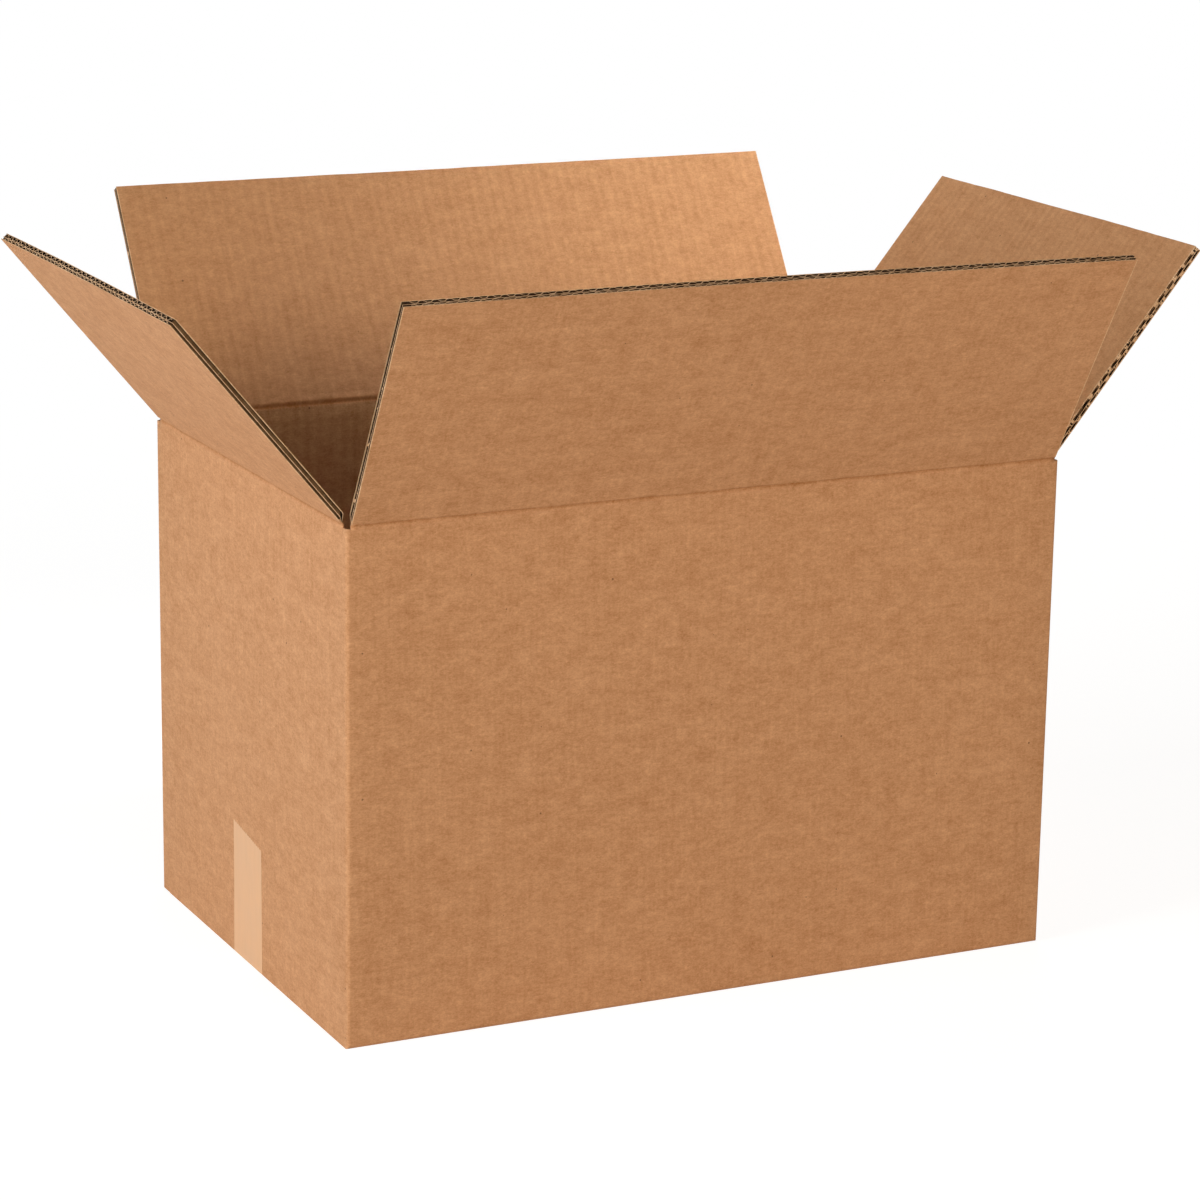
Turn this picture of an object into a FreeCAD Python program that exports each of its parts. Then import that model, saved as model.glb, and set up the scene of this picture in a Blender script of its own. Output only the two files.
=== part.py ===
"""An open corrugated shipping box.

One blank of double-wall board is folded into four walls and a closed bottom, and
its four top flaps stand open. A strip of tape holds the bottom flaps shut.

The origin is the middle of the underside. X runs along the length, Y from the
front wall to the back wall, and Z is up. Sizes are millimetres.

A wall's own frame has its origin at the middle of the outer face, at a fold. Its
x runs along the fold, y goes in through the board, and z is up.
"""
import FreeCAD
import Part
import math
import os
from FreeCAD import Placement, Rotation, Vector

# The set-up box
inner_length = 457.0
inner_width = 305.0
wall_height = 311.0  # bottom fold to top fold

# Double-wall board: two liners, a middle liner and two fluted layers
board = 5.0
liner = 0.5
middle_liner = 0.4
medium = 0.35  # paper of the flutes
fine_height = 1.45  # the fine flutes face outwards
fine_pitch = 6.8
coarse_pitch = 8.1
crushed_length = 12.0  # flutes are crushed shut this far from a flap's fold

# Folds and slots
fold_radius = 2.5
seam_gap = 3.0  # between the two long flaps, top or bottom, when shut
long_flap_inset = 3.0  # from the box's corner to the side of a long flap
short_flap_gap = 0.5  # from the side of a short flap to the wall beside it
layer_gap = 0.3  # between a long flap and a short flap under it
fold_gap = 0.25  # from a wall's top edge to its flap
slot_gap = 0.3  # from the side of a long flap to the corner of the wall
fold_offset = 0.1  # a long flap turns this far outside its wall

# The outer liner of an end wall runs on past the board, round the short flap's fold
lip = 1.0
lip_gap = 0.3
lip_drop = 0.5
lip_round = 0.5

# How far each top flap leans out from upright, in degrees
front_tilt = 28.5
right_tilt = 39.5
back_tilt = 32.5
left_tilt = 40.0

# Glued joint of the blank, inside the corner of the back wall and the left end wall
tab_width = 35.0
tab_taper = 6.0
tab_end_gap = 3.0
joint_gap = 1.0

# Tape over the bottom seam and up both end walls
tape_width = 48.0
tape_thickness = 0.1
tape_rise = 82.0
tape_groove_gap = 0.3
tooth_count = 16
tooth_depth = 1.2

# Worked out from the sizes above
length = inner_length + 2 * board
width = inner_width + 2 * board
flap_reach = (width - seam_gap) / 2
coarse_height = board - 2 * liner - middle_liner - fine_height
short_drop = board + layer_gap  # a shut short flap lies this far under the fold
short_start = lip + lip_gap  # and starts this far in from the wall's outer face
short_half = width / 2 - board - short_flap_gap
long_half = length / 2 - long_flap_inset
spare = 5.0  # cutting tools stand this far out of the board

SIDES = {
    "front": {"turn": 0, "wall": length, "depth": width, "tilt": front_tilt, "half": long_half},
    "right": {"turn": 90, "wall": width, "depth": length, "tilt": right_tilt, "half": short_half},
    "back": {"turn": 180, "wall": length, "depth": width, "tilt": back_tilt, "half": long_half},
    "left": {"turn": 270, "wall": width, "depth": length, "tilt": left_tilt, "half": short_half},
}
LONG_SIDES = ("front", "back")
SHORT_SIDES = ("left", "right")


def wall_frame(side, height):
    """The frame of one wall at a fold of this height."""
    turn = Placement(Vector(0, 0, 0), Rotation(Vector(0, 0, 1), SIDES[side]["turn"]))
    return turn * Placement(Vector(0, -SIDES[side]["depth"] / 2, height), Rotation())


def block(low, high):
    """A box between two corners."""
    size = [high[i] - low[i] for i in range(3)]
    return Part.makeBox(size[0], size[1], size[2], Vector(*low))


def bar(profile, half):
    """A closed outline of (y, z) points, run along x from -half to half."""
    points = [Vector(-half, y, z) for y, z in profile]
    face = Part.Face(Part.makePolygon(points + points[:1]))
    return face.extrude(Vector(2 * half, 0, 0))


def rounding(radius, half):
    """What a rounded edge along x takes off a block whose corner is the origin."""
    corner = (Vector(-half, radius, 0), Vector(-half, 0, radius))
    middle = Vector(-half, radius - radius * math.sqrt(0.5), radius - radius * math.sqrt(0.5))
    arc = Part.Arc(corner[0], middle, corner[1]).toShape()
    outside = [
        corner[1],
        Vector(-half, -spare, radius),
        Vector(-half, -spare, -spare),
        Vector(-half, radius, -spare),
        corner[0],
    ]
    face = Part.Face(Part.Wire([arc] + Part.makePolygon(outside).Edges))
    return face.extrude(Vector(2 * half, 0, 0))


def placed(shape, placement):
    """A copy of a shape, moved."""
    copy = shape.copy()
    copy.Placement = placement * copy.Placement
    return copy


def flute_cells(half, base, height, pitch):
    """The hollow triangles of one fluted layer, as faces across the flutes."""
    slope = math.atan2(height, pitch / 2)
    inset = medium / (2 * math.sin(slope))
    drop = inset * 2 * height / pitch
    cells = []
    for i in range(-math.ceil(half / pitch) - 1, math.ceil(half / pitch) + 1):
        start = i * pitch
        standing = [
            Vector(start + inset, base, 0),
            Vector(start + pitch - inset, base, 0),
            Vector(start + pitch / 2, base + height - drop, 0),
        ]
        hanging = [
            Vector(start + pitch / 2 + inset, base + height, 0),
            Vector(start + 3 * pitch / 2 - inset, base + height, 0),
            Vector(start + pitch, base + drop, 0),
        ]
        for corners in (standing, hanging):
            if min(abs(corner.x) for corner in corners) < half:
                cells.append(Part.Face(Part.makePolygon(corners + corners[:1])))
    return cells


def upright_flap(half, start):
    """One flap, standing on its fold: x along the fold, y in through the board, z up the flap."""
    corners = [
        Vector(-half, 0, 0),
        Vector(half, 0, 0),
        Vector(half, board, 0),
        Vector(-half, board, 0),
    ]
    section = Part.Face(Part.makePolygon(corners + corners[:1]))
    cells = flute_cells(half, liner, fine_height, fine_pitch)
    cells += flute_cells(half, liner + fine_height + middle_liner, coarse_height, coarse_pitch)
    fluted = section.cut(Part.makeCompound(cells)).extrude(Vector(0, 0, flap_reach - crushed_length))
    fluted = placed(fluted, Placement(Vector(0, 0, crushed_length), Rotation()))
    crushed = bar([(0, start), (board, start + board), (board, crushed_length), (0, crushed_length)], half)
    return crushed.fuse(fluted).removeSplitter()


def short_fold_axis(side):
    """Where a short flap turns, in its wall's frame at the top fold.

    Leaning out, the flap starts at the fold. Shut, it starts at short_start, short_drop
    lower. One turn takes it from the first place to the second.
    """
    turn = math.radians(90 + SIDES[side]["tilt"])
    bend = 1 / math.tan(turn / 2)
    return (short_start - short_drop * bend) / 2, -(short_drop + short_start * bend) / 2


def top_flap(side):
    """A top flap where it stands open."""
    if side in LONG_SIDES:
        flap = upright_flap(SIDES[side]["half"], fold_offset)
        foot = Vector(0, -fold_offset, 0)
    else:
        flap = upright_flap(SIDES[side]["half"], 0)
        foot = Vector(0, 0, 0)
    lean = Placement(foot, Rotation(Vector(1, 0, 0), SIDES[side]["tilt"]))
    return placed(flap, wall_frame(side, wall_height) * lean)


def walls():
    """The four walls as one ring, with a square corner where the blank is joined."""
    top = wall_height - fold_gap
    outer = block((-length / 2, -width / 2, 0), (length / 2, width / 2, top))
    folded = []
    for edge in outer.Edges:
        middle = edge.CenterOfMass
        joined = middle.x < 0 and middle.y > 0
        if abs(edge.tangentAt(edge.FirstParameter).z) > 0.5 and not joined:
            folded.append(edge)
    outer = outer.makeFillet(fold_radius, folded)
    inside = block((-inner_length / 2, -inner_width / 2, -spare), (inner_length / 2, inner_width / 2, top + spare))
    return outer.cut(inside)


def joint_cut():
    """The gap beside the cut edge of the left end wall, and the back wall's fold into its tab."""
    gap = block(
        (-length / 2 - spare, width / 2 - joint_gap, -spare),
        (-inner_length / 2, width / 2 + spare, wall_height + spare),
    )
    corner = Vector(-inner_length / 2, width / 2, wall_height / 2)
    upright = Rotation(Vector(0, 0, -1), Vector(1, 0, 0), Vector(0, -1, 0), "XYZ")
    fold = placed(rounding(fold_radius, wall_height / 2 + spare), Placement(corner, upright))
    return gap, fold


def joint_tab():
    """The glued tab, inside the left end wall, with tapered ends."""
    low = short_drop + board + tab_end_gap
    high = wall_height - short_drop - board - tab_end_gap
    back = inner_width / 2
    corners = [
        Vector(-inner_length / 2, back, low),
        Vector(-inner_length / 2, back, high),
        Vector(-inner_length / 2, back - tab_width, high - tab_taper),
        Vector(-inner_length / 2, back - tab_width, low + tab_taper),
    ]
    return Part.Face(Part.makePolygon(corners + corners[:1])).extrude(Vector(board, 0, 0))


def long_wall_top():
    """What the mitre of a long flap takes off the top of its wall, in the wall's frame."""
    profile = [
        (-spare, spare),
        (-spare, spare - fold_gap),
        (board, -board - fold_gap),
        (board, spare),
    ]
    return bar(profile, long_half + slot_gap)


def short_wall_top():
    """What a shut short flap takes off the top of its wall: all but the lip."""
    def seat(inward):
        return short_start - inward - short_drop - fold_gap

    profile = [
        (-spare, spare),
        (-spare, -fold_gap),
        (0, -fold_gap),
        (lip, -fold_gap - lip_drop),
        (lip, seat(lip)),
        (board, seat(board)),
        (board, spare),
    ]
    return bar(profile, inner_width / 2)


def case_body():
    """Walls, glued tab and the four bottom flaps, folded from the one blank."""
    body = walls().cut(joint_cut()[0])
    body = body.cut(joint_cut()[1])
    for side in LONG_SIDES:
        body = body.cut(placed(long_wall_top(), wall_frame(side, wall_height)))
    for side in SHORT_SIDES:
        pocket = block((-inner_width / 2, lip, -spare), (inner_width / 2, board, short_drop))
        lip_end = block((-width / 2 - spare, -spare, -spare), (width / 2 + spare, lip, tape_thickness))
        body = body.cut(placed(short_wall_top(), wall_frame(side, wall_height)))
        body = body.cut(placed(pocket, wall_frame(side, 0)))
        body = body.cut(placed(lip_end, wall_frame(side, 0)))
    flaps = [joint_tab()]
    for side in SHORT_SIDES:
        inner = block((-short_half, board, short_drop), (short_half, short_start + flap_reach, short_drop + board))
        flaps.append(placed(inner, wall_frame(side, 0)))
    for side in LONG_SIDES:
        outer = block((-long_half, board, 0), (long_half, flap_reach, board))
        flaps.append(placed(outer, wall_frame(side, 0)))
    body = body.fuse(flaps).removeSplitter()
    for side in LONG_SIDES:
        body = body.cut(placed(rounding(fold_radius, length / 2 + spare), wall_frame(side, 0)))
    for side in SHORT_SIDES:
        body = body.cut(placed(rounding(lip_round, width / 2 + spare), wall_frame(side, tape_thickness)))
    half_groove = tape_width / 2 + tape_groove_gap
    groove = block((-length / 2 + lip, -half_groove, -spare), (length / 2 - lip, half_groove, tape_thickness))
    return body.cut(groove)


def bottom_tape():
    """The tape: a strip along the seam, a bend at each end, and two legs with toothed ends."""
    strip = block(
        (-length / 2 + lip_round, -tape_width / 2, 0),
        (length / 2 - lip_round, tape_width / 2, tape_thickness),
    )
    pieces = [strip]
    tooth = tape_width / tooth_count
    bend_height = tape_thickness + lip_round
    for side in SHORT_SIDES:
        outline = [Vector(-tape_width / 2, 0, bend_height), Vector(-tape_width / 2, 0, tape_rise)]
        for i in range(tooth_count):
            start = -tape_width / 2 + i * tooth
            outline.append(Vector(start + tooth / 2, 0, tape_rise + tooth_depth))
            outline.append(Vector(start + tooth, 0, tape_rise))
        outline.append(Vector(tape_width / 2, 0, bend_height))
        leg = Part.Face(Part.makePolygon(outline + outline[:1])).extrude(Vector(0, -tape_thickness, 0))
        centre = Vector(-tape_width / 2, lip_round, bend_height)
        tube = Part.makeCylinder(lip_round + tape_thickness, tape_width, centre, Vector(1, 0, 0))
        tube = tube.cut(Part.makeCylinder(lip_round, tape_width, centre, Vector(1, 0, 0)))
        quarter = block((-tape_width / 2, -spare, -spare), (tape_width / 2, lip_round, bend_height))
        for piece in (leg, tube.common(quarter)):
            pieces.append(placed(piece, wall_frame(side, 0)))
    return pieces[0].fuse(pieces[1:]).removeSplitter()


def main():
    os.makedirs("parts", exist_ok=True)
    nodes = {"case_body": case_body(), "bottom_tape": bottom_tape()}
    for side in SIDES:
        nodes[side + "_flap"] = top_flap(side)
    for name, shape in nodes.items():
        solids = shape.Solids
        if len(solids) != 1 or not shape.isValid():
            raise RuntimeError(name + " isn't one sound solid")
        solids[0].exportStep("parts/" + name + ".step")
        print(name, "faces", len(shape.Faces), "volume", round(shape.Volume))
    for side in SIDES:
        at = Vector(0, -fold_offset, 0) if side in LONG_SIDES else Vector(0, *short_fold_axis(side))
        frame = wall_frame(side, wall_height)
        pivot = frame.multVec(at)
        axis = frame.Rotation.multVec(Vector(1, 0, 0))
        print(side, "fold at", [round(c, 3) for c in pivot], "along", [round(c, 3) for c in axis])


main()
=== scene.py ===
"""An open corrugated shipping box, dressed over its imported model. Lengths are metres."""
import bmesh
import bpy
import math
from mathutils import Matrix, Vector, noise


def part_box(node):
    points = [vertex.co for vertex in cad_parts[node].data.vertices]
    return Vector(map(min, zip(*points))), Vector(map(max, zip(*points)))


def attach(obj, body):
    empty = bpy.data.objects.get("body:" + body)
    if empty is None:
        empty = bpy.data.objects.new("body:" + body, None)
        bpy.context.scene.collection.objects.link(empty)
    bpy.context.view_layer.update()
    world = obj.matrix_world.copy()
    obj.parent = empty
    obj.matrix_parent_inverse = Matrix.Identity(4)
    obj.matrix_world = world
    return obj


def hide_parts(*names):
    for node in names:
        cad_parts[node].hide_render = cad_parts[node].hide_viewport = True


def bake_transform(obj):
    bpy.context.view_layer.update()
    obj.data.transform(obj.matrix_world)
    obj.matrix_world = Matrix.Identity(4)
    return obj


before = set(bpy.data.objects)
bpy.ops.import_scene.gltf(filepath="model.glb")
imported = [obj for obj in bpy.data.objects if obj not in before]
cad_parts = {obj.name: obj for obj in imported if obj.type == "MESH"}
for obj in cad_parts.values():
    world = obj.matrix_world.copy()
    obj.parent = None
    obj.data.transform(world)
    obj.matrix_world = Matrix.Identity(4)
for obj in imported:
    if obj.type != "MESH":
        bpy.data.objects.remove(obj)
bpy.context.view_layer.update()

# The four walls
# One blank of brown double-wall board, creased and folded round into a rectangle. The outer liner
# is smooth kraft paper, bent tight at the upright folds, and crushed thin along the top folds.
case_low, case_high = (Vector(corner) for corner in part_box("case_body"))
length = case_high.x - case_low.x
width = case_high.y - case_low.y
board = 0.005
fold_gap = 0.00025
wall_height = case_high.z + fold_gap
fold_radius = 0.0025
joint_gap = 0.001
cut_width = 0.012
short_drop = 0.0053
short_half = width / 2 - board - 0.0005
seat_drop = 0.0048
seat_margin = 0.0002
crease_thickness = 0.001
foot_thickness = 0.0024
wall_patch = 0.022
bulge = 0.0009
bulge_fade = 0.05
NEAR = 1e-5
SIDE_TURN = {"front": 0, "right": 90, "back": 180, "left": 270}
SIDE_DEPTH = {"front": width, "right": length, "back": width, "left": length}
LONG_SIDES = ("front", "back")
kraft_brown = (0.575, 0.298, 0.146, 1.0)
lining_brown = (0.62, 0.325, 0.155, 1.0)
# Painted shade: the lining paper darkened, for the inner faces of the walls, which lie in the shade of the
# box.
painted_shade_brown = (0.50, 0.272, 0.128, 1.0)
# Painted shade: the width in millimetres of a dark line painted along the top fold, where the crease dent
# lies in shade.
crease_shade_width = 0.9
speck_brown = (0.16, 0.075, 0.035, 1.0)
fibre_tan = (0.78, 0.52, 0.31, 1.0)


def wall_frame(side, height):
    """A wall's own axes at a fold: x along it, y in through the board, z up."""
    turn = Matrix.Rotation(math.radians(SIDE_TURN[side]), 4, "Z")
    return turn @ Matrix.Translation((0, -SIDE_DEPTH[side] / 2, height))


def smooth_step(value):
    """Goes gently from 0 to 1 as value does."""
    value = min(max(value, 0.0), 1.0)
    return value * value * (3 - 2 * value)


def finish_mesh(name, bm, material, body):
    """Makes the object of a finished bmesh, which rides on one body of the box."""
    bmesh.ops.recalc_face_normals(bm, faces=bm.faces)
    mesh = bpy.data.meshes.new(name)
    bm.to_mesh(mesh)
    bm.free()
    mesh.materials.append(material)
    piece = bpy.data.objects.new(name, mesh)
    bpy.context.scene.collection.objects.link(piece)
    if body:
        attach(piece, body)
    return piece


def smooth_below(bm, degrees):
    """Shades every face smooth, but keeps the edges sharper than this as edges."""
    for face in bm.faces:
        face.smooth = True
    for edge in bm.edges:
        if len(edge.link_faces) == 2 and edge.calc_face_angle(0) > math.radians(degrees):
            edge.smooth = False


class Nodes:
    """A node tree that is written one node at a time."""

    def __init__(self, tree):
        self.tree = tree
        self.count = 0

    def add(self, kind, values=None, **settings):
        """One node. values gives a plain value or a link to each named or numbered socket."""
        new = self.tree.nodes.new(kind)
        new.location = (180 * (self.count % 8), -220 * (self.count // 8))
        self.count += 1
        for key, value in settings.items():
            setattr(new, key, value)
        for key, value in (values or {}).items():
            if isinstance(value, bpy.types.NodeSocket):
                self.tree.links.new(value, new.inputs[key])
            else:
                new.inputs[key].default_value = value
        return new

    def maths(self, operation, first, second=0.0, third=0.0):
        """The result of one sum, as a link."""
        return self.add("ShaderNodeMath", {0: first, 1: second, 2: third}, operation=operation).outputs[0]

    def stretched(self, place, amounts):
        """A place multiplied along each axis, as a link."""
        return self.add("ShaderNodeVectorMath", {0: place, 1: amounts}, operation="MULTIPLY").outputs[0]

    def noise(self, place, scale, detail, roughness=0.55, distortion=0.0):
        """Smooth noise about 0, as a link."""
        texture = self.add(
            "ShaderNodeTexNoise",
            {"Vector": place, "Scale": scale, "Detail": detail, "Roughness": roughness,
             "Distortion": distortion},
        )
        return self.maths("SUBTRACT", texture.outputs["Fac"], 0.5)


def kraft_group():
    """Brown paper: soft blotches, formation lines, specks, pale fibres, and the flutes showing through as
    bumps with painted shade stripes; a painted shade line runs along the top fold.
    """
    tree = bpy.data.node_groups.new("kraft paper", "ShaderNodeTree")
    for name, kind in (("Place", "NodeSocketVector"), ("Paper", "NodeSocketColor"),
                       ("Mottle", "NodeSocketFloat"), ("Washboard Bump And Shade", "NodeSocketFloat"),
                       ("Flute Pitch", "NodeSocketFloat")):
        tree.interface.new_socket(name=name, in_out="INPUT", socket_type=kind)
    for name, kind in (("Color", "NodeSocketColor"), ("Roughness", "NodeSocketFloat"),
                       ("Height", "NodeSocketFloat")):
        tree.interface.new_socket(name=name, in_out="OUTPUT", socket_type=kind)
    n = Nodes(tree)
    given = n.add("NodeGroupInput").outputs
    place = n.stretched(given["Place"], (1000.0, 1000.0, 1000.0))
    across, along = n.add("ShaderNodeSeparateXYZ", {0: place}).outputs[:2]
    felted = n.stretched(place, (0.65, 1.0, 1.0))
    lines = n.stretched(place, (0.16, 1.1, 1.0))
    uprights = n.stretched(place, (0.9, 0.04, 1.0))

    cloud = n.noise(place, 0.012, 2.0)
    blotch = n.noise(felted, 0.055, 3.0)
    mottle = n.noise(felted, 0.13, 4.0, 0.6)
    formation = n.noise(lines, 0.4, 3.0)
    drag = n.noise(uprights, 0.5, 3.0)
    fine = n.noise(felted, 0.45, 3.0, 0.7)
    grain = n.noise(felted, 1.1, 2.0, 0.7)

    wander = n.maths("MULTIPLY", n.noise(place, 0.03, 2.0), 2.4)
    turns = n.maths("DIVIDE", across, given["Flute Pitch"])
    phase = n.maths("MULTIPLY_ADD", turns, 2 * math.pi, wander)
    wave = n.maths("COSINE", phase)
    patchy = n.maths("MULTIPLY_ADD", n.noise(uprights, 0.09, 2.0), 1.8, 0.6)
    ridge_bump_and_shade = n.maths("MULTIPLY", n.maths("MULTIPLY", wave, patchy), given["Washboard Bump And Shade"])

    tone = n.maths("MULTIPLY", cloud, 0.10)
    for layer, share in ((blotch, 0.19), (mottle, 0.46), (formation, 0.12), (drag, 0.16), (fine, 0.52),
                         (grain, 0.50)):
        tone = n.maths("MULTIPLY_ADD", layer, share, tone)
    tone = n.maths("MULTIPLY", tone, given["Mottle"])
    # Painted shade: faint dark and light stripes along the flutes, for the washboard ridges catching light
    # and shade; the same ridges also give real bumps in the height below.
    tone = n.maths("MULTIPLY_ADD", ridge_bump_and_shade, 0.05, tone)
    # Painted shade: a soft dark line along the top fold, standing in for the shade in the crease dent.
    from_fold = n.maths("DIVIDE", n.maths("SUBTRACT", along, 1000 * wall_height), crease_shade_width)
    crease_shade = n.maths("EXPONENT", n.maths("MULTIPLY", n.maths("MULTIPLY", from_fold, from_fold), -1.0))
    tone = n.maths("MULTIPLY_ADD", crease_shade, -0.2, tone)
    swing = n.add("ShaderNodeVectorMath", {0: (1.0, 1.38, 1.9), 3: tone}, operation="SCALE").outputs[0]
    toned = n.add("ShaderNodeVectorMath", {0: given["Paper"], 1: swing, 2: given["Paper"]},
                  operation="MULTIPLY_ADD").outputs[0]

    cells = n.add("ShaderNodeTexVoronoi", {"Vector": place, "Scale": 0.045, "Randomness": 1.0},
                  voronoi_dimensions="2D")
    chances = n.add("ShaderNodeSeparateColor", {0: cells.outputs["Color"]})
    size = n.maths("MULTIPLY_ADD", chances.outputs[1], 0.020, 0.012)
    dot = n.maths("LESS_THAN", cells.outputs["Distance"], size)
    dot = n.maths("MULTIPLY", dot, n.maths("GREATER_THAN", chances.outputs[0], 0.92))
    specked = n.add("ShaderNodeMix", {"Factor": n.maths("MULTIPLY", dot, 0.75), 6: toned, 7: speck_brown},
                    data_type="RGBA")

    contour = n.maths("ABSOLUTE", n.noise(place, 0.42, 1.0, 0.5, 1.6))
    thread = n.maths("LESS_THAN", contour, 0.006)
    short = n.maths("GREATER_THAN", n.noise(place, 0.5, 1.0), 0.09)
    thread = n.maths("MULTIPLY", thread, short)
    haired = n.add("ShaderNodeMix",
                   {"Factor": n.maths("MULTIPLY", thread, 0.35), 6: specked.outputs[2], 7: fibre_tan},
                   data_type="RGBA")

    rough = n.maths("MULTIPLY_ADD", mottle, 0.25, 0.80)
    height = n.maths("MULTIPLY_ADD", fine, 0.5, mottle)
    height = n.maths("MULTIPLY_ADD", thread, 0.25, height)
    height = n.maths("MULTIPLY_ADD", ridge_bump_and_shade, 1.4, height)
    n.add("NodeGroupOutput", {"Color": haired.outputs[2], "Roughness": rough, "Height": height})
    return tree


kraft_paper = kraft_group()


def board_material(name, paper, mottle, washboard_bump_and_shade, flute_pitch, relief):
    """Kraft paper on one side of the board. relief is the height of its bumps; the washboard strength gives
    both the flutes' bumps and painted shade stripes along them.
    """
    material = bpy.data.materials.new(name)
    material.use_nodes = True
    material.node_tree.nodes.clear()
    n = Nodes(material.node_tree)
    place = n.add("ShaderNodeUVMap", uv_map="board").outputs[0]
    group = n.add("ShaderNodeGroup", node_tree=kraft_paper)
    material.node_tree.links.new(place, group.inputs["Place"])
    group.inputs["Paper"].default_value = paper
    group.inputs["Mottle"].default_value = mottle
    group.inputs["Washboard Bump And Shade"].default_value = washboard_bump_and_shade
    group.inputs["Flute Pitch"].default_value = flute_pitch
    bump = n.add("ShaderNodeBump", {"Height": group.outputs["Height"], "Strength": 1.0, "Distance": relief})
    shader = n.add(
        "ShaderNodeBsdfPrincipled",
        {"Base Color": group.outputs["Color"], "Roughness": group.outputs["Roughness"],
         "Normal": bump.outputs[0], "IOR": 1.4, "Specular IOR Level": 0.3},
    )
    n.add("ShaderNodeOutputMaterial", {"Surface": shader.outputs[0]})
    return material


outer_liner = board_material("outer liner", kraft_brown, 1.0, 0.12, 6.8, 0.00003)
inner_liner = board_material("inner liner", lining_brown, 0.85, 0.9, 8.1, 0.00004)
# The walls' inner faces: the same lining paper with painted shade, and with stronger washboard stripes.
shaded_inner_wall = board_material("inner wall painted shade", painted_shade_brown, 1.1, 1.4, 8.1, 0.00004)


PATTERN_START = {"front": 0.0, "right": 1.0, "back": 2.0, "left": 3.0}
CAP_PATTERN = 5.0
BOTTOM_PATTERN = 7.0


def lay_board_pattern(bm):
    """Lays the paper's pattern along each wall and up it, so that it runs on into the flap."""
    layer = bm.loops.layers.uv.new("board")
    bm.normal_update()
    for face in bm.faces:
        ends = abs(face.normal.x) > abs(face.normal.y)
        for loop in face.loops:
            place = loop.vert.co
            if abs(face.normal.z) > 0.7:
                loop[layer].uv = (place.x, place.y + CAP_PATTERN)
            elif ends and face.normal.x > 0:
                loop[layer].uv = (PATTERN_START["right"] + place.y, place.z)
            elif ends:
                loop[layer].uv = (PATTERN_START["left"] - place.y, place.z)
            elif face.normal.y > 0:
                loop[layer].uv = (PATTERN_START["back"] - place.x, place.z)
            else:
                loop[layer].uv = (PATTERN_START["front"] + place.x, place.z)


def wall_bulge(point):
    """How far a wall stands out of flat: a slow wave that dies away at the folds."""
    from_end = length / 2 - abs(point.x)
    from_side = width / 2 - abs(point.y)
    free = smooth_step(min(point.z, wall_height - point.z) / bulge_fade)
    free *= smooth_step((max(from_end, from_side) - 0.015) / bulge_fade)
    if from_end < from_side:
        flat_place = Vector((math.copysign(length / 2, point.x), point.y, point.z))
    else:
        flat_place = Vector((point.x, math.copysign(width / 2, point.y), point.z))
    return bulge * free * noise.noise(flat_place * 9.0)


def top_thickness(side, down):
    """How thick the crushed board is this far under its top fold."""
    start, reach = (0.0022, 0.0085) if side in LONG_SIDES else (0.0053, 0.0100)
    return crease_thickness + (board - crease_thickness) * smooth_step((down - start) / (reach - start))


def verts_of(geometry):
    """The vertices in a bmesh operator's result."""
    return [item for item in geometry if isinstance(item, bmesh.types.BMVert)]


def faces_of(verts):
    """The faces round some vertices, each once and always in the same order."""
    return list(dict.fromkeys(face for vert in verts for face in vert.link_faces))


def even_cuts(low, high, spacing):
    """Places that divide a run evenly, about this far apart, without its ends."""
    count = math.ceil((high - low) / spacing)
    return [low + (high - low) * i / count for i in range(1, count)]


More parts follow.
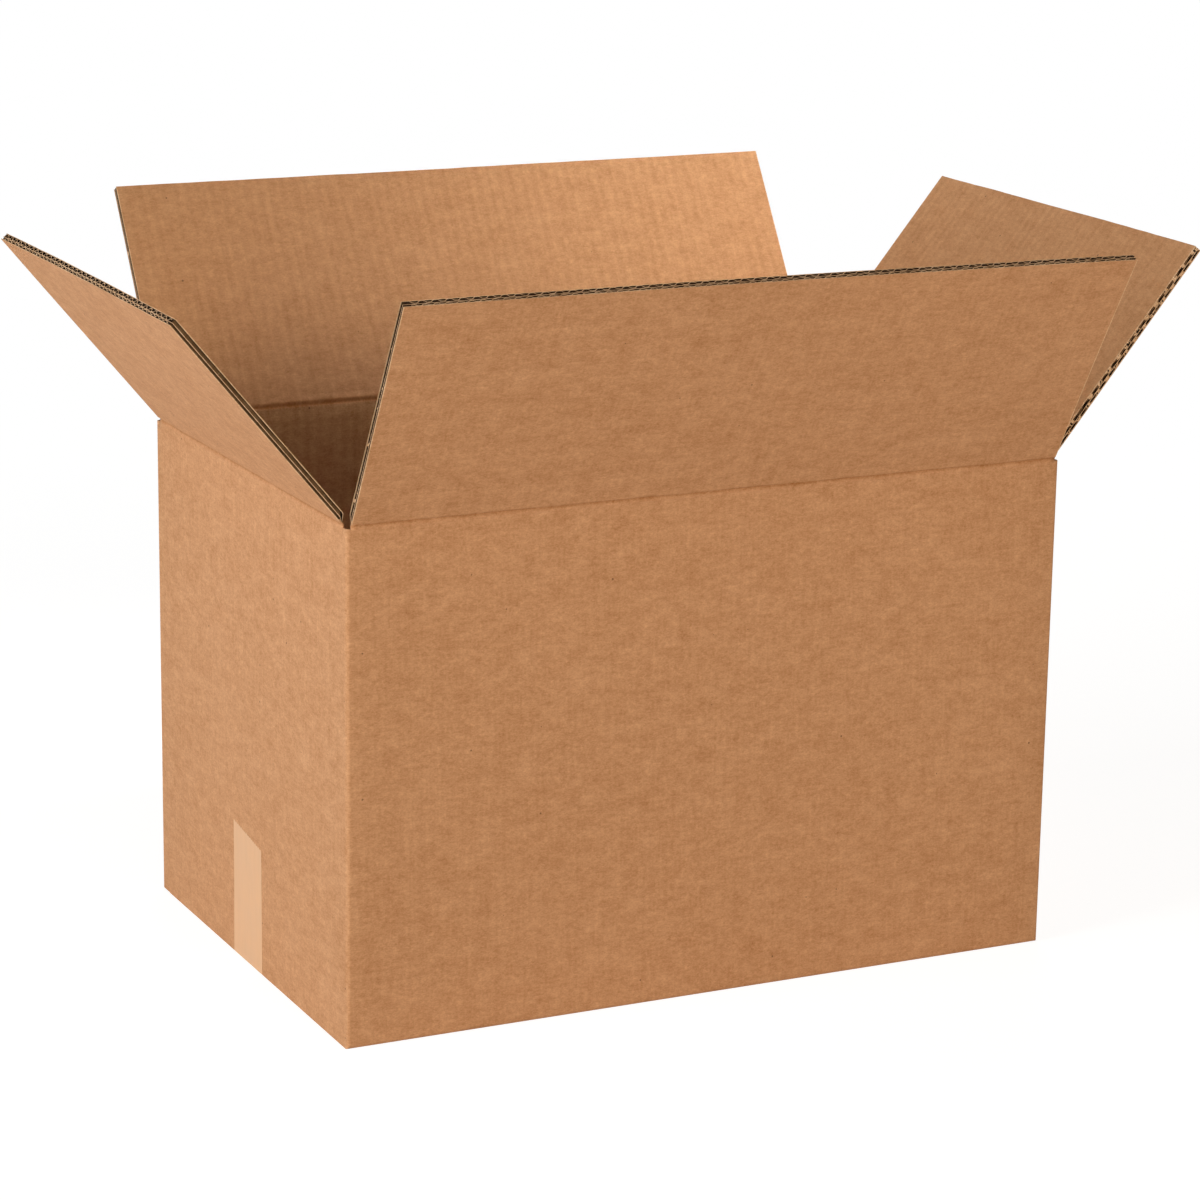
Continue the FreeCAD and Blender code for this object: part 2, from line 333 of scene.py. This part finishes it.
def walls():
    """The walls, as one strip of thick board with three folded corners, and seats for the short flaps."""
    bm = bmesh.new()
    half_x = length / 2
    half_y = width / 2
    lining_x = half_x - board
    lining_y = half_y - board
    end = half_y - cut_width
    plan = [(-half_x, end), (-half_x, -half_y), (half_x, -half_y), (half_x, half_y), (-lining_x, half_y),
            (-lining_x, lining_y), (lining_x, lining_y), (lining_x, -lining_y), (-lining_x, -lining_y),
            (-lining_x, end)]
    corners = [bm.verts.new((x, y, 0)) for x, y in plan]
    bm.faces.new(corners)
    bmesh.ops.bevel(bm, geom=corners[1:5], offset=fold_radius, segments=6, profile=0.5, affect="VERTICES",
                    material=-1)
    seat_ends = [sign * (short_half + seat_margin * share) for sign in (-1, 1) for share in (0.5, 1.5)]
    cuts_y = sorted(even_cuts(-short_half, short_half, wall_patch) + seat_ends)
    for axis, cuts in ((0, even_cuts(-lining_x, lining_x, wall_patch)), (1, cuts_y)):
        for cut in cuts:
            place = Vector((0, 0, 0))
            place[axis] = cut
            facing = Vector((0, 0, 0))
            facing[axis] = 1
            everything = bm.verts[:] + bm.edges[:] + bm.faces[:]
            bmesh.ops.bisect_plane(bm, geom=everything, dist=1e-6, plane_co=place, plane_no=facing)
    crushed_rows = (0.0115, 0.0100, 0.0085, 0.0073, 0.0062, seat_drop, 0.0035, 0.0025, 0.0015)
    rows = [fold_radius * (1 - math.cos(math.radians(22.5 * i))) for i in range(5)]
    rows += [0.0045, 0.0055, 0.008]
    rows += even_cuts(0.008, wall_height - crushed_rows[0], wall_patch)
    rows += [wall_height - down for down in crushed_rows]
    top = bm.faces[:]
    for low, high in zip(rows, rows[1:]):
        raised = bmesh.ops.extrude_face_region(bm, geom=top)["geom"]
        bmesh.ops.translate(bm, vec=(0, 0, high - low), verts=verts_of(raised))
        if low > 0:
            bmesh.ops.delete(bm, geom=top, context="FACES")
        top = [face for face in raised if isinstance(face, bmesh.types.BMFace)]
    lay_board_pattern(bm)
    for face in bm.faces:
        inward = face.normal.xy.dot(face.calc_center_median().xy) < 0
        # Inward faces take the lining paper darkened as painted shade.
        face.material_index = 1 if inward and abs(face.normal.z) < 0.5 else 0
    for vert in bm.verts:
        down = wall_height - vert.co.z
        lines_side = abs(abs(vert.co.y) - lining_y) < NEAR and abs(vert.co.x) < lining_x + NEAR
        lines_end = abs(abs(vert.co.x) - lining_x) < NEAR and abs(vert.co.y) < lining_y + NEAR
        if lines_side:
            vert.co.y = math.copysign(half_y - top_thickness("front", down), vert.co.y)
        if vert.co.x < 0 and vert.co.y > lining_y + NEAR:
            vert.co.y = max(vert.co.y, half_y - top_thickness("back", down))
        if lines_end:
            thick = top_thickness("left", down) if vert.co.z > board else foot_thickness
            vert.co.x = math.copysign(half_x - thick, vert.co.x)
        if vert.co.z < fold_radius and not lines_side:
            fallen = fold_radius - vert.co.z
            inset = fold_radius - math.sqrt(fold_radius ** 2 - fallen ** 2)
            vert.co.y = math.copysign(min(abs(vert.co.y), half_y - inset), vert.co.y)
        on_seat = abs(vert.co.x) > lining_x - NEAR and abs(vert.co.y) < short_half + seat_margin
        if on_seat and down < seat_drop:
            vert.co.z = wall_height - seat_drop
    bmesh.ops.remove_doubles(bm, verts=bm.verts, dist=1e-6)
    for vert in bm.verts:
        out = wall_bulge(vert.co)
        if length / 2 - abs(vert.co.x) < width / 2 - abs(vert.co.y):
            vert.co.x += out
        else:
            vert.co.y += out
    smooth_below(bm, 40)
    ring = finish_mesh("walls", bm, outer_liner, "case")
    # The inner faces take the lining paper darkened as painted shade, for the inside of the box.
    ring.data.materials.append(shaded_inner_wall)
    return ring


wall_ring = walls()
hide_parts("case_body")

# The bottom flaps and the top flaps
# Each is the same board, cut at the slots and at its free edge, so that the two layers of flutes
# show: upright arches at the free edge, and long open channels along the two sides.
liner = 0.00045
middle_liner = 0.0004
medium = 0.00045
raw_edge = 0.0005
broken_band = 0.0008
channel_band = 0.0028
flute_inset = 0.0048
sheet_inset = 0.0002
torn_wobble = 0.0002
crushed_flat = 0.0010
crushed_rise = 0.0042
fine_height = 0.00150
fine_pitch = 0.0068
coarse_pitch = 0.0081
seam_gap = 0.003
flap_reach = (width - seam_gap) / 2
long_half = length / 2 - 0.003
short_start = 0.0013
# Painted shade: the fluting and the liners' hidden faces inside the board, made far darker than the paper for
# the shade deep in the flutes; the fluting paper itself is only a little darker than the liners.
flute_shade_brown = (0.045, 0.022, 0.010, 1.0)
# Painted shade: the flute walls in the open channels along a cut side, darker than the paper for the shade
# there, but less dark than deep inside.
channel_shade_brown = (0.16, 0.088, 0.041, 1.0)
edge_tan = (0.74, 0.48, 0.28, 1.0)

# Painted shade inside the board.
flute_paper_shade = board_material("flute paper painted shade", flute_shade_brown, 0.8, 0.0, 8.1, 0.00003)
# Painted shade in the open channels.
channel_paper_shade = board_material("channel paper painted shade", channel_shade_brown, 1.2, 0.0, 8.1, 0.00003)
cut_paper = board_material("cut paper", edge_tan, 1.2, 0.0, 8.1, 0.00003)


def add_sheet(bm, half, rows, columns, middle, thickness, wave=None, rim=0.0):
    """One sheet of paper in the board, at this depth through it. wave gives its flutes."""
    before = set(bm.verts)
    grid = bmesh.ops.create_grid(bm, x_segments=columns, y_segments=len(rows) - 1, size=0.5)
    for vert in grid["verts"]:
        row = round((vert.co.y + 0.5) * (len(rows) - 1))
        x = 2 * half * vert.co.x
        column = round((vert.co.x + 0.5) * columns)
        if rim and column in (1, columns - 1):
            x = math.copysign(half - rim, x)
        vert.co = (x, middle + (wave(x) if wave else 0.0), rows[row])
    faces = faces_of(grid["verts"])
    bmesh.ops.recalc_face_normals(bm, faces=faces)
    bmesh.ops.solidify(bm, geom=faces, thickness=thickness)
    new = [vert for vert in bm.verts if vert not in before]
    shift = middle - sum(vert.co.y for vert in new) / len(new) if not wave else 0.0
    bmesh.ops.translate(bm, vec=(0, shift, 0), verts=new)


def add_ragged_edge(bm, half, side, rows, low, high, mean, period, swing, seed):
    """The torn flute that closes a channel along a cut side, now near the cut and now deep."""
    count = max(8, round((rows[-1] - rows[0]) / (period / 6)))
    grid = bmesh.ops.create_grid(bm, x_segments=2, y_segments=count, size=0.5)
    for vert in grid["verts"]:
        run = rows[0] + (rows[-1] - rows[0]) * (vert.co.y + 0.5)
        depth = mean + swing * math.sin(2 * math.pi * run / period + seed)
        depth += swing * noise.noise(Vector((run * 260, seed, vert.co.x)))
        depth += swing * noise.noise(Vector((run * 40, seed, 3)))
        through = low + (high - low) * (vert.co.x + 0.5)
        vert.co = (side * (half - max(depth, sheet_inset) - sheet_inset), through, run)
    faces = faces_of(grid["verts"])
    bmesh.ops.solidify(bm, geom=faces, thickness=medium)


def board_panel(name, half, rows, thickness, warp, place, pattern, rag, columns=28):
    """One piece of fluted board. Its axes: x across the flutes, y in through the board, z along them.

    rag is the mean depth, the period and the swing of the torn flutes at its two cut sides.
    """
    bm = bmesh.new()
    coarse_height = board - 2 * liner - middle_liner - fine_height
    middle = liner + fine_height + middle_liner / 2
    rim = raw_edge if columns > 4 else 0.0
    add_sheet(bm, half, rows, columns, liner / 2, liner, rim=rim)
    add_sheet(bm, half, rows, columns, board - liner / 2, liner, rim=rim)
    add_sheet(bm, half - sheet_inset, rows, columns, middle, middle_liner)
    layers = ((fine_height, fine_pitch, liner + fine_height / 2, 1.0),
              (coarse_height, coarse_pitch, board - liner - coarse_height / 2, 4.0))
    for height, pitch, depth, seed in layers:
        swing = (height - medium * 1.2) / 2
        turns = math.floor(2 * half / pitch)
        add_sheet(bm, half - flute_inset, rows, turns * 10, depth, medium,
                  lambda x: swing * math.tanh(2 * math.cos(2 * math.pi * x / pitch)) / math.tanh(2))
        for side in (-1, 1):
            add_ragged_edge(bm, half, side, rows, depth - height / 2, depth + height / 2, *rag,
                            seed + side)
    layer = bm.loops.layers.uv.new("board")
    bm.normal_update()
    for face in bm.faces:
        face.smooth = True
        through = face.calc_center_median().y
        from_cut = half - abs(face.calc_center_median().x)
        sideways = abs(face.normal.x) > 0.7
        if abs(face.normal.z) > 0.8 or (sideways and from_cut < broken_band) or from_cut < rim:
            face.material_index = 3
        # Flute walls in the open channels near a cut side: painted shade, lighter than farther in.
        elif sideways and from_cut < channel_band:
            face.material_index = 4
        elif through < 0.00005:
            face.material_index = 0
        elif through > board - 0.00005:
            face.material_index = 1
        # Faces inside the board, the flutes and the liners' hidden faces, take the flute paper, darkened with
        # painted shade.
        else:
            face.material_index = 2
        for loop in face.loops:
            loop[layer].uv = (loop.vert.co.x + pattern[0], loop.vert.co.z + pattern[1])
    for edge in bm.edges:
        if len(edge.link_faces) == 2 and edge.calc_face_angle(0) > math.radians(50):
            edge.smooth = False
    for vert in bm.verts:
        across = vert.co.x / half
        up = vert.co.z / rows[-1]
        vert.co.y *= thickness(vert.co.z) / board
        if up > 0.999:
            vert.co.z += noise.noise(vert.co * 700) * torn_wobble
        vert.co.y += warp(across, up)
    bmesh.ops.transform(bm, matrix=place, verts=bm.verts)
    piece = finish_mesh(name, bm, outer_liner, None)
    for material in (inner_liner, flute_paper_shade, cut_paper, channel_paper_shade):
        piece.data.materials.append(material)
    return piece


def full_thickness(along):
    """Board that isn't crushed."""
    return board


def flap_thickness(along):
    """A flap's board, crushed at its fold."""
    return crease_thickness + (board - crease_thickness) * smooth_step((along - crushed_flat) / crushed_rise)


def flat(across, up):
    """Board that lies flat."""
    return 0.0


bottom_rag = (0.0024, 0.012, 0.0015)
# Shut, a bottom flap's outer face is down, and it runs in from its wall.
shut_below = Matrix.Rotation(math.pi, 4, "Z") @ Matrix.Rotation(math.pi / 2, 4, "X")
for side in ("front", "right", "back", "left"):
    long = side in LONG_SIDES
    reach = flap_reach if long else short_start + flap_reach
    rows = [board] + even_cuts(board, reach, 0.05) + [reach]
    floor_flap = board_panel("bottom_flap_" + side, long_half if long else short_half, rows, full_thickness,
                             flat, wall_frame(side, 0 if long else short_drop) @ shut_below,
                             (BOTTOM_PATTERN + long, 0.0), bottom_rag)
    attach(floor_flap, "case")
    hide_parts("case_body")

tilt = {"front": 28.5, "right": 39.5, "back": 32.5, "left": 40.0}
flap_half = {"front": long_half, "back": long_half, "left": short_half, "right": short_half}
fold_rows = [0.0015, 0.0021, 0.0028, 0.0036, 0.0045, 0.0056]
front_curve = 0.0047
front_ripple = 0.0003
long_shift = -0.0001


def front_warp(across, up):
    """The front flap's right end leans out a little further, so that its free edge curves."""
    wave = front_ripple * up * (1 + noise.noise(Vector((across * 3, up * 2, 0))))
    return -front_curve * up ** 1.4 * ((across + 1) / 2) ** 2.2 - wave


def slight_warp(seed, bow):
    """A flap that bows and waves by about this much, to the side that leaves room when all are shut."""
    def warp(across, up):
        wave = 0.5 + 0.5 * noise.noise(Vector((across * 2.2, up * 1.5, seed)))
        return 0.6 * bow * up * ((1 - across * across) * up + wave)
    return warp


flap_warp = {"front": front_warp, "back": slight_warp(3.0, -0.0013), "left": slight_warp(5.0, 0.0012),
             "right": slight_warp(8.0, 0.0012)}
flap_rag = {"front": (0.0034, 0.0068, 0.0026), "back": (0.0034, 0.0068, 0.0026),
            "left": (0.0018, 0.030, 0.0005), "right": (0.0010, 0.010, 0.0012)}
for side in ("front", "right", "back", "left"):
    foot = Matrix.Translation((0, long_shift if side in LONG_SIDES else 0, 0))
    lean = Matrix.Rotation(math.radians(tilt[side]), 4, "X")
    rows = fold_rows + even_cuts(fold_rows[-1], flap_reach, 0.02) + [flap_reach]
    panel = board_panel(side + "_flap_board", flap_half[side], rows, flap_thickness, flap_warp[side],
                        wall_frame(side, wall_height) @ foot @ lean, (PATTERN_START[side], wall_height),
                        flap_rag[side])
    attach(panel, side + "_flap")
    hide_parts(side + "_flap")

# The creases of the top flaps
# Both liners run on from the wall to the flap through a crushed line, bent to the flap's lean.
crease_above = 0.0032
crease_below = {"front": 0.0032, "back": 0.0032, "left": 0.0064, "right": 0.0064}
crease_sheet = 0.0009
crease_ease = 0.0008
crease_column = 0.004
score_depth = 0.0006
score_reach = 0.0011
outer_lap = 0.00006
outer_sink = 0.0004
outer_sink_reach = 0.0007
lining_sheet = 0.0004
lining_below = 0.0125
lining_above = 0.0066
lining_inset = 0.0015
lining_dip = 0.0013
dip_above = 0.0018
dip_below = 0.0085
pinch_depth = 0.0010
pinch_reach = 0.0005
lining_lap = 0.00005
lining_sink = 0.0003
lining_sink_reach = 0.004


def fold_place(run, depth, lean):
    """A point this far up across the fold and this deep in the board: how far in, and how high."""
    spread = math.sqrt(run * run + crease_ease * crease_ease)
    bent = 0.5 * (run + spread)
    facing = lean * 0.5 * (1 + run / spread)
    out = bent * math.sin(lean) - depth * math.cos(facing)
    return -out, (run - bent) + bent * math.cos(lean) + depth * math.sin(facing)


def fold_sheet(bm, half, low, high, rows, thickness, surface, side):
    """One sheet that crosses the fold. surface gives its depth in the board at each point."""
    grid = bmesh.ops.create_grid(bm, x_segments=round(half * 2 / crease_column), y_segments=rows, size=0.5)
    faces = faces_of(grid["verts"])
    before = set(bm.verts) - set(grid["verts"])
    bmesh.ops.solidify(bm, geom=faces, thickness=0.1)
    verts = [vert for vert in bm.verts if vert not in before]
    upper = max(vert.co.z for vert in verts)
    layer = bm.loops.layers.uv["board"]
    for face in faces_of(verts):
        face.smooth = True
        for loop in face.loops:
            run = low + (high - low) * (loop.vert.co.y + 0.5)
            loop[layer].uv = (PATTERN_START[side] + 2 * half * loop.vert.co.x, wall_height + run)
    for vert in verts:
        along = 2 * half * vert.co.x
        run = low + (high - low) * (vert.co.y + 0.5)
        depth = surface(along, run) + (thickness if vert.co.z < upper - 0.05 else 0.0)
        vert.co = (along, *fold_place(run, depth, math.radians(tilt[side])))
    return verts


def crease(side):
    """The crushed board along one top fold, from the wall to the leaning flap."""
    below = crease_below[side]
    bm = bmesh.new()
    bm.loops.layers.uv.new("board")

    def outside(along, run):
        uneven = 1 + 0.8 * noise.noise(Vector((along * 25, PATTERN_START[side], 0)))
        dent = score_depth * uneven * math.exp(-(run / score_reach) ** 2)
        ends = min(crease_above - run, run + below)
        return dent - outer_lap + outer_sink * smooth_step(1 - ends / outer_sink_reach)

    def inside(along, run):
        uneven = 1 + 0.35 * noise.noise(Vector((along * 18, PATTERN_START[side], 9)))
        reach = dip_above if run > 0 else dip_below
        dip = lining_dip * uneven * (1 - smooth_step(abs(run) / reach))
        pinch = pinch_depth * math.exp(-(run / pinch_reach) ** 2)
        ends = min(lining_above - run, run + lining_below)
        sunk = lining_sink * (1 - smooth_step(ends / lining_sink_reach))
        return board + lining_lap - dip - pinch - sunk - lining_sheet

    fold_sheet(bm, flap_half[side], -below, crease_above, 20, crease_sheet, outside, side)
    if side in LONG_SIDES:
        lining = fold_sheet(bm, flap_half[side] - lining_inset, -lining_below, lining_above, 40, lining_sheet,
                            inside, side)
        for face in faces_of(lining):
            # The lining below the fold, on the wall's inner face, takes the lining paper darkened as painted
            # shade; above it, on the flap, the plain lining paper.
            face.material_index = 1 if face.calc_center_median().z > 0 else 2
    bmesh.ops.transform(bm, matrix=wall_frame(side, wall_height), verts=bm.verts)
    strip = finish_mesh(side + "_crease", bm, outer_liner, None)
    strip.data.materials.append(inner_liner)
    strip.data.materials.append(shaded_inner_wall)
    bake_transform(strip)
    return strip


for side in ("front", "right", "back", "left"):
    crease(side)

# The glued joint
# At the back left corner the blank's two ends meet: the end wall's cut edge shows outside, and a
# tab of the back wall is glued flat inside the end wall.
tab_width = 0.035
tab_low = 0.0133
tab_high = 0.2974
tab_taper = 0.006
tab_rounding = 0.0008


def glued_tab():
    """The tab, with tapered ends."""
    bm = bmesh.new()
    back = width / 2 - board
    corners = ((back, tab_low), (back, tab_high), (back - tab_width, tab_high - tab_taper),
               (back - tab_width, tab_low + tab_taper))
    face = bm.faces.new([bm.verts.new((-length / 2 + board, y, z)) for y, z in corners])
    raised = bmesh.ops.extrude_face_region(bm, geom=[face])["geom"]
    bmesh.ops.translate(bm, vec=(board, 0, 0), verts=verts_of(raised))
    rim = [edge for edge in bm.edges if min(vert.co.x for vert in edge.verts) > -length / 2 + 1.5 * board]
    bmesh.ops.bevel(bm, geom=rim, offset=tab_rounding, segments=3, profile=0.5, affect="EDGES", material=-1)
    bmesh.ops.recalc_face_normals(bm, faces=bm.faces)
    lay_board_pattern(bm)
    smooth_below(bm, 40)
    # The tab lies inside the end wall and takes the lining paper darkened as painted shade.
    return finish_mesh("glued_tab", bm, shaded_inner_wall, "case")


tab = glued_tab()
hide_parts("case_body")


def cut_thickness(along):
    """The end wall's board at the joint, crushed under its top fold."""
    return top_thickness("left", wall_height - along)


cut_half = (cut_width - joint_gap) / 2
cut_rows = [0.0003] + even_cuts(0.0003, wall_height - 0.0115, 0.03)
cut_rows += [wall_height - down for down in (0.0115, 0.0100, 0.0085, 0.0070, 0.0055, 0.0035, 0.0015)]
cut_place = wall_frame("left", 0) @ Matrix.Translation((-width / 2 + joint_gap + cut_half, 0, 0))
cut_pattern = (PATTERN_START["left"] - width / 2 + joint_gap + cut_half, 0.0)
cut_rag = (0.0016, 0.02, 0.001)
cut_edge = board_panel("cut_edge", cut_half, cut_rows, cut_thickness, flat, cut_place, cut_pattern, cut_rag,
                       columns=2)
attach(cut_edge, "case")
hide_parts("case_body")

# The tape
# One strip of tan packing tape, rubbed down over the bottom seam and up both end walls, and torn
# off at each end on a toothed blade.
tape_low, tape_high = (Vector(corner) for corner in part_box("bottom_tape"))
tape_half = (tape_high.y - tape_low.y) / 2
tape_film = 0.00008
tape_off_centre = 0.003
tape_clear = 0.00003
tape_floor = 0.00012
tape_tooth = 0.0016
tape_ends = {-1: (0.0790, 0.0850), 1: (0.0835, 0.0805)}
tape_tan = (0.73, 0.425, 0.22, 1.0)


def tape_material():
    """Smooth tan film, with the board's unevenness faintly showing."""
    material = bpy.data.materials.new("packing tape")
    material.use_nodes = True
    material.node_tree.nodes.clear()
    n = Nodes(material.node_tree)
    place = n.add("ShaderNodeTexCoord").outputs["Object"]
    uneven = n.noise(place, 45.0, 3.0)
    streaks = n.stretched(place, (1.0, 1.0, 0.15))
    pulled = n.noise(streaks, 260.0, 3.0)
    tone = n.maths("MULTIPLY_ADD", uneven, 0.12, 1.0)
    tone = n.maths("MULTIPLY_ADD", pulled, 0.10, tone)
    colour = n.add("ShaderNodeVectorMath", {0: tape_tan[:3], 3: tone}, operation="SCALE").outputs[0]
    height = n.maths("MULTIPLY_ADD", pulled, 0.3, uneven)
    bump = n.add("ShaderNodeBump", {"Height": height, "Strength": 1.0, "Distance": 0.0002})
    rough = n.maths("MULTIPLY_ADD", uneven, 0.2, 0.45)
    shader = n.add(
        "ShaderNodeBsdfPrincipled",
        {"Base Color": colour, "Roughness": rough, "Normal": bump.outputs[0], "Specular IOR Level": 0.4},
    )
    n.add("ShaderNodeOutputMaterial", {"Surface": shader.outputs[0]})
    return material


def tape_strip():
    """The tape, bent round the two bottom edges."""
    bm = bmesh.new()
    columns = 48
    half_x = length / 2
    up_end = [0.0, 0.0008, 0.003, 0.008] + even_cuts(0.008, 0.070, 0.008) + [0.070, 0.076, 1.0]
    across = even_cuts(-half_x, half_x, 0.02)
    path = [(-1, share) for share in reversed(up_end)]
    path += [(0, x) for x in across]
    path += [(1, share) for share in up_end]
    grid = bmesh.ops.create_grid(bm, x_segments=columns, y_segments=len(path) - 1, size=0.5)
    for vert in grid["verts"]:
        end, share = path[round((vert.co.y + 0.5) * (len(path) - 1))]
        column = round((vert.co.x + 0.5) * columns)
        y = tape_off_centre + 2 * tape_half * vert.co.x
        if end == 0:
            vert.co = (share, y, tape_floor)
            continue
        rise = share
        if share == 1.0:
            low, high = tape_ends[end]
            tooth = tape_tooth if column % 3 == 1 else 0.0
            rise = low + (high - low) * column / columns
            rise += tooth * (0.55 + noise.noise(Vector((column * 0.7, end, 0))))
        x = end * (half_x + tape_film + tape_clear)
        vert.co = (x, y, max(rise, tape_floor))
        vert.co.x += wall_bulge(vert.co)
    bmesh.ops.recalc_face_normals(bm, faces=bm.faces)
    lowest = min(bm.faces, key=lambda face: face.calc_center_median().z)
    if lowest.normal.z > 0:
        bmesh.ops.reverse_faces(bm, faces=bm.faces)
    bmesh.ops.solidify(bm, geom=bm.faces[:], thickness=tape_film)
    smooth_below(bm, 50)
    return finish_mesh("tape", bm, tape_material(), "case")


tape = tape_strip()
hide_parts("bottom_tape")

# The studio
# A white floor and sky. A strong soft lamp lights the left end, two weaker warm ones the front, a
# narrow one the flaps from above, and one the back.
camera_place = (-1.0295, -2.1194, 0.8270)
camera_yaw = math.radians(25.933)
camera_pitch = math.radians(14.740)
camera_roll = math.radians(0.857)
focal_pixels = 3901.1
frame_pixels = 1200
shadow_reach = 0.6
near_shade = 0.35
near_glow = 0.87


def floor():
    """The white floor. It looks white to the camera but keeps a soft shadow."""
    bm = bmesh.new()
    bmesh.ops.create_grid(bm, x_segments=8, y_segments=8, size=6.0)
    material = bpy.data.materials.new("white floor")
    material.use_nodes = True
    material.node_tree.nodes.clear()
    n = Nodes(material.node_tree)
    path = n.add("ShaderNodeLightPath")
    seen = n.maths("MAXIMUM", path.outputs["Is Camera Ray"], path.outputs["Is Glossy Ray"])
    seen = n.maths("MAXIMUM", seen, path.outputs["Is Transmission Ray"])
    plain = n.add("ShaderNodeBsdfDiffuse", {"Color": (0.8, 0.8, 0.8, 1.0)})
    shaded = n.add("ShaderNodeBsdfDiffuse", {"Color": (near_shade, near_shade, near_shade, 1.0)})
    glow = n.add("ShaderNodeEmission", {"Color": (1.0, 1.0, 1.0, 1.0), "Strength": near_glow})
    near = n.add("ShaderNodeAddShader", {0: shaded.outputs[0], 1: glow.outputs[0]})
    far = n.add("ShaderNodeEmission", {"Color": (1.0, 1.0, 1.0, 1.0), "Strength": 1.0})
    place = n.add("ShaderNodeTexCoord").outputs["Object"]
    distance = n.add("ShaderNodeVectorMath", {0: place}, operation="LENGTH").outputs["Value"]
    past = n.maths("MAXIMUM", n.maths("SUBTRACT", distance, shadow_reach), 0.0)
    fade = n.maths("SMOOTH_MIN", past, 1.0, 0.1)
    white = n.add("ShaderNodeMixShader", {0: fade, 1: near.outputs[0], 2: far.outputs[0]})
    mixed = n.add("ShaderNodeMixShader", {0: seen, 1: plain.outputs[0], 2: white.outputs[0]})
    n.add("ShaderNodeOutputMaterial", {"Surface": mixed.outputs[0]})
    plane = finish_mesh("floor", bm, material, None)
    return plane


floor()


def lamp(name, place, aim, size, power, colour, spread=180):
    """A square soft lamp, which the camera doesn't see."""
    light = bpy.data.lights.new(name, "AREA")
    light.shape = "SQUARE"
    light.size = size
    light.energy = power
    light.color = colour
    light.spread = math.radians(spread)
    holder = bpy.data.objects.new(name, light)
    bpy.context.scene.collection.objects.link(holder)
    holder.visible_camera = False
    holder.location = place
    holder.rotation_euler = (Vector(aim) - Vector(place)).to_track_quat("-Z", "Y").to_euler()
    return holder


lamp("left_lamp", (-3.0, -0.4, 0.9), (0, 0, 0.25), 1.2, 63, (1.0, 0.99, 0.97))
lamp("front_lamp", (-0.3, -3.2, 0.6), (0, 0, 0.25), 1.6, 23, (1.0, 0.86, 0.70))
lamp("high_lamp", (0.3, -3.0, 1.40), (0, 0, 0.3), 0.8, 27, (1.0, 0.88, 0.73))
lamp("upper_lamp", (1.0, -0.2, 1.6), (0.22, 0.22, 0.42), 0.3, 0.42, (1.0, 0.97, 0.93), 24)
lamp("back_lamp", (1.6, 3.0, 1.0), (0, 0, 0.25), 1.6, 34, (1.0, 0.97, 0.92))

world = bpy.data.worlds.new("studio")
bpy.context.scene.world = world
world.use_nodes = True
world.node_tree.nodes.clear()
sky = Nodes(world.node_tree)
sky_path = sky.add("ShaderNodeLightPath")
sky_seen = sky.maths("MAXIMUM", sky_path.outputs["Is Camera Ray"], sky_path.outputs["Is Glossy Ray"])
sky_seen = sky.maths("MAXIMUM", sky_seen, sky_path.outputs["Is Transmission Ray"])
sky_fill = sky.add("ShaderNodeBackground", {"Color": (1.0, 0.99, 0.97, 1.0), "Strength": 0.08})
sky_white = sky.add("ShaderNodeBackground", {"Color": (1.0, 1.0, 1.0, 1.0), "Strength": 1.0})
sky_mixed = sky.add("ShaderNodeMixShader", {0: sky_seen, 1: sky_fill.outputs[0], 2: sky_white.outputs[0]})
sky.add("ShaderNodeOutputWorld", {"Surface": sky_mixed.outputs[0]})

lens = bpy.data.cameras.new("camera")
lens.sensor_width = 36
lens.lens = focal_pixels / frame_pixels * lens.sensor_width
lens.clip_end = 50
camera = bpy.data.objects.new("camera", lens)
bpy.context.scene.collection.objects.link(camera)
forward = Vector((
    math.sin(camera_yaw) * math.cos(camera_pitch),
    math.cos(camera_yaw) * math.cos(camera_pitch),
    -math.sin(camera_pitch),
))
level = Vector((math.cos(camera_yaw), -math.sin(camera_yaw), 0))
above = level.cross(forward)
right = level * math.cos(camera_roll) + above * math.sin(camera_roll)
upward = above * math.cos(camera_roll) - level * math.sin(camera_roll)
camera_turn = Matrix((right, upward, -forward)).transposed().to_4x4()
camera.matrix_world = Matrix.Translation(camera_place) @ camera_turn
bpy.context.scene.camera = camera
bpy.context.scene.view_settings.view_transform = "Standard"
